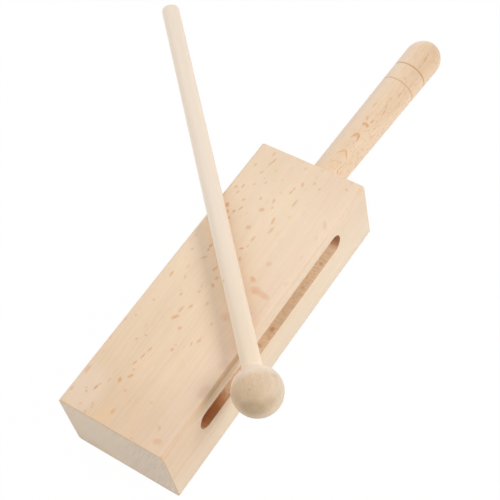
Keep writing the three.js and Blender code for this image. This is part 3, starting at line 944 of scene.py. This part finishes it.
def finish_handle():
    wood, tree, shader, place = new_wood("handle_wood")
    place = on_own_axis(place, handle_place())
    across, reach, up = split(place)
    round_it = times(sums("ARCTAN2", up, across), HANDLE_MEAN_RADIUS / MM)
    grain = apply_effect(WOOD_GRAIN, place=place, band_width=5.0, line_width=0.6, fibre_width=0.3)
    colour = stain(ease(reach, 70.0, 112.0), HANDLE_PALE, HANDLE_AT_DOME)
    ring_place = turned_about("X_AXIS", place, math.radians(-8))
    rings = apply_effect(GROWTH_RINGS, place=ring_place, ring_width=1.5, wander=1.2)
    colour = stain(times(rings["Late wood"], 0.08), colour, LATE_WOOD_BROWN)
    # one side of the grip darkened from the middle towards the dome: painted shade
    grip_side_shade = times(ease(reach, 30.0, 70.0), ease(round_it, 1.0, 4.5), ease(round_it, 14.0, 8.0))
    colour = tinge(grip_side_shade, colour, GRIP_SIDE_SHADE_TINGE)
    colour = stain(ease(round_it, 12.5, 19.0), colour, HANDLE_FAR_SIDE)
    light = times(swing(grain["Bands"], 0.08), swing(grain["Lines"], 0.20))
    colour = warm_in_patches(multiply_by(colour, light), grain["Mottle"])
    pores = apply_effect(PORE_DASHES, place=place, spacing=(0.7, 5.0, 0.7), size=0.30)["Pores"]
    many_pores = ease(round_it, 14.0, 7.0, 0.26, 0.75)
    colour = stain(times(pores, many_pores), colour, PORE_BROWN)
    colour = burn_grooves(ring_figure(colour, round_it, reach), reach)
    rough = scaled(grain["Fibres"], 0.14, 0.45)
    height = sums("SUBTRACT", grain["Lines"], pores)
    dress(tree, shader, colour, rough, height, BEECH_RELIEF, BEECH_RELIEF_HEIGHT)
    return wood


handle.data.materials.append(finish_handle())


# Beater stick
# A plain dowel of paler wood, cut square with its ends just eased. It lies loose across the
# block, and its seated end is glued into the ball.
STICK_RADIUS = 5 * MM
STICK_END_EASE = 0.9 * MM
BALL_RADIUS = 12.5 * MM
BALL_END_WALL = 8.5 * MM
BEATER_LENGTH = 268.3 * MM
BALL_REACH = 72.9 * MM
BEATER_CROSSING = 12.3 * MM
BEATER_HEADING = math.radians(135.3)
REST_GAP = 0.1 * MM
SANDED_OFF = 0.04 * MM
STICK_FACETS = 64
STICK_END_STEPS = 6


def beater_place(reach=0.0):
    """Y runs along the stick from the ball to the free end, over the block's middle line."""
    crossing = Vector((0, BEATER_CROSSING, block_high.z + REST_GAP + STICK_RADIUS))
    turn = Matrix.Rotation(BEATER_HEADING - math.pi / 2, 4, "Z")
    return Matrix.Translation(crossing) @ turn @ Matrix.Translation((0, reach, 0))


def stick_profile():
    radius = STICK_RADIUS - SANDED_OFF
    seated = BALL_END_WALL - BALL_RADIUS - BALL_REACH + SANDED_OFF
    free = BEATER_LENGTH - BALL_RADIUS - BALL_REACH - SANDED_OFF
    profile = [(0, seated), (radius, seated)]
    for step in range(STICK_END_STEPS + 1):
        turn = math.pi / 2 * step / STICK_END_STEPS
        inset = STICK_END_EASE * (1 - math.cos(turn))
        drop = STICK_END_EASE * (1 - math.sin(turn))
        profile.append((radius - inset, free - drop))
    profile.append((0, free))
    return profile


stick = turned_piece("stick_dressed", stick_profile(), beater_place(), STICK_FACETS)
smooth_between_creases(stick, math.radians(40))
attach(stick, "beater")
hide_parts("beater_stick")


BEATER_RELIEF = 0.2
BEATER_RELIEF_HEIGHT = 0.1 * MM
STICK_PALE = (0.909, 0.773, 0.634)
STICK_AT_BALL = (0.870, 0.707, 0.536)
SPOT_GREY = (0.620, 0.530, 0.410)
# (across, along, width, length, turn, depth of colour)
GREY_SPOT = ((-4.2, -10.5, 1.6, 2.0, 40, 0.8),)


def finish_stick():
    wood, tree, shader, place = new_wood("stick_wood")
    place = on_own_axis(place, beater_place())
    grain = apply_effect(WOOD_GRAIN, place=place, band_width=4.0, line_width=0.9, fibre_width=0.3)
    # darker and yellower towards the ball: painted light falloff
    toward_ball = ease(split(place)[1], 60.0, -75.0)
    colour = stain(toward_ball, STICK_PALE, STICK_AT_BALL)
    light = times(swing(grain["Bands"], 0.06), swing(grain["Lines"], 0.06))
    colour = multiply_by(colour, light)
    colour = stain(add_marks(roughen(place), GREY_SPOT, 2.7, 1.2), colour, SPOT_GREY)
    rough = scaled(grain["Fibres"], 0.12, 0.5)
    dress(tree, shader, colour, rough, grain["Lines"], BEATER_RELIEF, BEATER_RELIEF_HEIGHT)
    return wood


stick.data.materials.append(finish_stick())


# Beater ball
# A turned ball of darker wood, drilled part way through and glued onto the stick. Its end grain,
# opposite the stick, is darker than its sides, partly dirt and partly painted shade; its inner side
# is painted darker as shade, and it is painted paler round the stick and at its outer rims as
# painted light and sheen.
BALL_BORE_GAP = 0.06 * MM
BALL_STEPS = 48


def ball_profile():
    radius = BALL_RADIUS - SANDED_OFF
    bore = STICK_RADIUS - SANDED_OFF + BALL_BORE_GAP
    bore_end = BALL_END_WALL - BALL_RADIUS
    mouth_turn = math.acos(bore / radius)
    profile = [(0, bore_end), (bore, bore_end)]
    for step in range(BALL_STEPS):
        turn = mouth_turn - (mouth_turn + math.pi / 2) * step / BALL_STEPS
        profile.append((radius * math.cos(turn), radius * math.sin(turn)))
    profile.append((0, -radius))
    return profile


ball = turned_piece("ball_dressed", ball_profile(), beater_place(-BALL_REACH), TURNED_FACETS)
smooth_between_creases(ball, math.radians(40))
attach(ball, "beater")
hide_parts("beater_head")


# (across, along, width, length, turn, depth of colour)
BALL_DIRT_AND_SHADE = (
    (-3.6, -10.3, 8.6, 16.0, 106, 0.6), (-8.5, -3.5, 6.0, 12.0, 150, 0.25), (3.6, -9.6, 4.6, 8.5, 80, 0.33),
    (-1.5, -11.4, 8.0, 13.0, 95, 0.3),
)
DARK_SPOT = ((-2.9, -4.6, 1.6, 1.2, 0, 0.35),)
DARK_ARC = ((9.0, 1.2, 3.4, 2.4, 20, 0.2),)
BALL_SHADED_INNER_SIDE = (0.690, 0.497, 0.322)
BALL_LIT_OUTER_SIDE = (0.760, 0.580, 0.410)
RIM_SHEEN_TINGE = (0.940, 0.980, 1.000)
DIRT_AND_SHADE_BROWN = (0.460, 0.328, 0.184)
PAINTED_LIGHT_NEAR_STICK = (0.897, 0.759, 0.621)
BALL_PORE_BROWN = (0.575, 0.380, 0.230)
SPOT_BROWN = (0.437, 0.310, 0.207)
SPECKLED_PLACE = (-1.0, -2.0, 12.0)


def finish_ball():
    wood, tree, shader, place = new_wood("ball_wood")
    place = on_own_axis(place, beater_place(-BALL_REACH))
    across, reach, up = split(place)
    grain = apply_effect(WOOD_GRAIN, place=place, band_width=3.5, line_width=0.7, fibre_width=0.3)
    # the inner side painted darker and the outer side paler: painted shade and light
    colour = stain(ease(across, -8.0, 11.0), BALL_SHADED_INNER_SIDE, BALL_LIT_OUTER_SIDE)

    # the end grain is darkened in a ragged patch, partly dirt and partly painted shade, and the ball is
    # painted paler round the stick as painted light
    ragged = scaled(noise(place, 0.25, 3.0)["Fac"], 3.5, -1.75)
    shifted = vector_sums("ADD", place, join(0.0, 0.0, ragged))
    dirt_and_shade = add_marks(shifted, BALL_DIRT_AND_SHADE, 4.5, 4.3)
    colour = stain(dirt_and_shade, colour, DIRT_AND_SHADE_BROWN)
    # paler towards the stick: painted light
    painted_light_near_stick = ease(sums("ADD", reach, ragged), 0.5, 6.0, 0.0, 0.6)
    colour = stain(painted_light_near_stick, colour, PAINTED_LIGHT_NEAR_STICK)
    # the outer and lower rims tinged paler and bluer: painted sheen
    painted_rim_sheen = either(ease(across, 4.0, 11.0), ease(up, 3.0, -4.0))
    colour = tinge(painted_rim_sheen, colour, RIM_SHEEN_TINGE)
    light = times(swing(grain["Bands"], 0.20), swing(grain["Lines"], 0.20))
    colour = multiply_by(colour, light)
    pores = apply_effect(PORE_DASHES, place=place, spacing=(0.9, 2.6, 0.9), size=0.30)["Pores"]
    away = vector_sums("DISTANCE", place, SPECKLED_PLACE, result="Value")
    speckled = ease(away, 8.0, 3.0, 0.12, 0.5)
    colour = stain(times(pores, speckled), colour, BALL_PORE_BROWN)
    dark_spot = add_marks(place, DARK_SPOT, 11.2, 1.5)
    dark_arc = add_marks(place, DARK_ARC, 8.4, 3.0)
    colour = stain(either(dark_spot, dark_arc), colour, SPOT_BROWN)
    rough = scaled(grain["Fibres"], 0.12, 0.52)
    dress(tree, shader, colour, rough, grain["Lines"], BEATER_RELIEF, BEATER_RELIEF_HEIGHT)
    return wood


ball.data.materials.append(finish_ball())


# Camera
# Looks down on the slotted side and the plain end from about half a metre above, tipped a
# little to the left, as the photograph was taken.
CAMERA_AZIMUTH = math.radians(46.311)
CAMERA_ELEVATION = math.radians(54.07)
CAMERA_ROLL = math.radians(-14.867)
CAMERA_DISTANCE = 685.33 * MM
CAMERA_TARGET = Vector((-8.872, 37.342, 20.25)) * MM
LENS_LENGTH = 95.761
SENSOR_WIDTH = 36

lens = bpy.data.cameras.new("camera")
lens.lens = LENS_LENGTH
lens.sensor_width = SENSOR_WIDTH
camera = bpy.data.objects.new("camera", lens)
bpy.context.scene.collection.objects.link(camera)
around = Matrix.Rotation(CAMERA_AZIMUTH, 4, "Z")
down = Matrix.Rotation(math.pi / 2 - CAMERA_ELEVATION, 4, "X")
tip = Matrix.Rotation(CAMERA_ROLL, 4, "Z")
back = Matrix.Translation((0, 0, CAMERA_DISTANCE))
camera.matrix_world = Matrix.Translation(CAMERA_TARGET) @ around @ down @ tip @ back
bpy.context.scene.camera = camera


# Studio
# A white table that the camera sees almost shadowless, one soft box over the slotted side, and
# two pale walls beyond the other side that send the light back.
TABLE_WHITE = (0.9, 0.9, 0.9, 1)
TABLE_ROUGHNESS = 0.9
TABLE_GLOW = 0.116
TABLE_EVEN_WHITE_SHARE = 0.985
TABLE_HALF_SIZE = 30
FULL_WHITE = (1, 1, 1, 1)


def white_table():
    paint = bpy.data.materials.new("white_table")
    paint.use_nodes = True
    tree = paint.node_tree
    shader = tree.nodes["Principled BSDF"]
    shader.inputs["Base Color"].default_value = TABLE_WHITE
    shader.inputs["Roughness"].default_value = TABLE_ROUGHNESS
    shader.inputs["Emission Color"].default_value = FULL_WHITE
    shader.inputs["Emission Strength"].default_value = TABLE_GLOW
    glow = put(tree, "ShaderNodeEmission", {"Color": FULL_WHITE, "Strength": 1.0}).outputs[0]
    seen = put(tree, "ShaderNodeLightPath").outputs["Is Camera Ray"]
    given = {0: times(seen, TABLE_EVEN_WHITE_SHARE), 1: shader.outputs[0], 2: glow}
    mixed = put(tree, "ShaderNodeMixShader", given)
    tree.links.new(mixed.outputs[0], tree.nodes["Material Output"].inputs["Surface"])
    return paint


bm = bmesh.new()
bmesh.ops.create_grid(bm, x_segments=1, y_segments=1, size=TABLE_HALF_SIZE)
bmesh.ops.translate(bm, verts=bm.verts, vec=(0, 0, -REST_GAP))
table = new_piece("table", bm)
table.data.materials.append(white_table())


KEY_AZIMUTH = math.radians(21)
KEY_ELEVATION = math.radians(36)
KEY_DISTANCE = 1.4
KEY_WIDTH = 0.75
KEY_HEIGHT = 0.5
KEY_POWER = 11.1


def toward(azimuth, elevation):
    level = math.cos(elevation)
    return Vector((math.cos(azimuth) * level, math.sin(azimuth) * level, math.sin(elevation)))


def soft_box():
    data = bpy.data.lights.new("key", "AREA")
    data.shape = "RECTANGLE"
    data.size = KEY_WIDTH
    data.size_y = KEY_HEIGHT
    data.energy = KEY_POWER
    lamp = bpy.data.objects.new("key", data)
    bpy.context.scene.collection.objects.link(lamp)
    way = toward(KEY_AZIMUTH, KEY_ELEVATION)
    turned = way.to_track_quat("Z", "Y").to_matrix().to_4x4()
    lamp.matrix_world = Matrix.Translation(way * KEY_DISTANCE) @ turned


# (azimuth and elevation in degrees, brightness) of the pale walls
WALLS = ((138, 18, 0.95), (237, 30, 0.84))


def pale_walls():
    """Light that is strongest from the middle of each wall and fades to nothing square to it."""
    studio = bpy.data.worlds.new("studio")
    studio.use_nodes = True
    tree = studio.node_tree
    seen = put(tree, "ShaderNodeTexCoord").outputs["Generated"]
    bright = 0.0
    for azimuth, elevation, brightness in WALLS:
        way = toward(math.radians(azimuth), math.radians(elevation))
        facing = vector_sums("DOT_PRODUCT", seen, way, result="Value")
        bright = sums("ADD", bright, times(either(facing, 0.0), brightness))
    background = tree.nodes["Background"]
    background.inputs["Color"].default_value = FULL_WHITE
    tree.links.new(bright, background.inputs["Strength"])
    return studio


soft_box()
studio = pale_walls()
bpy.context.scene.world = studio
bpy.context.scene.view_settings.view_transform = "Standard"
